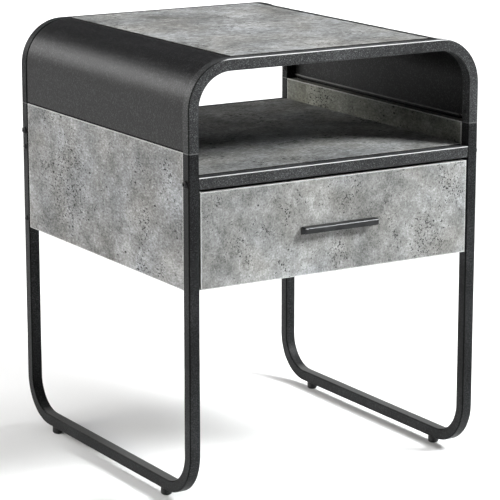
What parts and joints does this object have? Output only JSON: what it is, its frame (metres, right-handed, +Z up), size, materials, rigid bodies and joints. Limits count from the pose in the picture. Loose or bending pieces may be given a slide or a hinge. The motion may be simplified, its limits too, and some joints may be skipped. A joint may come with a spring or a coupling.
{
  "type": "side table with drawer",
  "caption": "Side table with a black square-tube frame, curved steel hoods over an open shelf, and a drawer with concrete-look panels on ball-bearing slides.",
  "frame": {"origin": "on the floor, at the middle of the four feet and under the middle of the tube frame; the handle stands 12.5 mm in front of the frame", "axes": "+X to the table's right seen from the front, +Y to the rear (the drawer opens towards -Y), +Z up"},
  "size_m": [0.4664, 0.4925, 0.6],
  "materials": {
    "black_tube": "fine-textured powder coat",
    "hood_sheet": "smooth satin paint",
    "concrete_board": "matt concrete-look laminate",
    "drawer_box_board": "matt black laminate",
    "foot_plastic": "matt",
    "black_screw": "black oxide",
    "zinc_steel": "zinc plated",
    "ball_steel": "polished",
    "inner_plastic": "moulded",
    "handle_metal": "gunmetal, polished"
  },
  "bodies": {
    "frame": {"front_hoop": "black_tube", "rear_hoop": "black_tube", "left_leg_frame": "black_tube", "right_leg_frame": "black_tube", "joint_spigots": "inner_plastic", "spigot_screws": "black_screw", "front_rail": "black_tube", "rear_rail": "black_tube", "rail_end_inserts": "zinc_steel", "rail_bolts": "black_screw", "front_left_foot": "foot_plastic", "front_right_foot": "foot_plastic", "rear_left_foot": "foot_plastic", "rear_right_foot": "foot_plastic", "left_hood": "hood_sheet", "right_hood": "hood_sheet", "top_panel": "concrete_board", "top_panel_screws": "black_screw", "left_side_panel": "concrete_board", "right_side_panel": "concrete_board", "side_panel_pins": "zinc_steel", "shelf": "concrete_board", "shelf_cams": "zinc_steel", "shelf_cam_bolts": "zinc_steel", "back_panel": "concrete_board", "back_panel_screws": "black_screw", "left_slide_channel": "zinc_steel", "right_slide_channel": "zinc_steel", "slide_channel_screws": "zinc_steel"},
    "drawer": {"drawer_front": "concrete_board", "drawer_left_side": "drawer_box_board", "drawer_right_side": "drawer_box_board", "drawer_back": "drawer_box_board", "drawer_bottom": "drawer_box_board", "drawer_cams": "zinc_steel", "drawer_cam_bolts": "zinc_steel", "drawer_box_screws": "zinc_steel", "drawer_handle": "handle_metal", "handle_screws": "zinc_steel", "left_slide_runner": "zinc_steel", "right_slide_runner": "zinc_steel", "slide_runner_screws": "zinc_steel"},
    "left_cage": {"left_ball_cage": "inner_plastic", "left_slide_balls": "ball_steel"},
    "right_cage": {"right_ball_cage": "inner_plastic", "right_slide_balls": "ball_steel"}
  },
  "joints": [
    {"name": "drawer_slide", "type": "slide", "parent": "frame", "child": "drawer", "axis": [0, -1, 0], "range_m": [0, 0.3]},
    {"name": "left_cage_slide", "type": "slide", "parent": "frame", "child": "left_cage", "axis": [0, -1, 0], "range_m": [0, 0.15]},
    {"name": "right_cage_slide", "type": "slide", "parent": "frame", "child": "right_cage", "axis": [0, -1, 0], "range_m": [0, 0.15]}
  ],
  "couplings": [
    {"joint": "left_cage_slide", "follows": "drawer_slide", "ratio": 0.5},
    {"joint": "right_cage_slide", "follows": "drawer_slide", "ratio": 0.5}
  ]
}
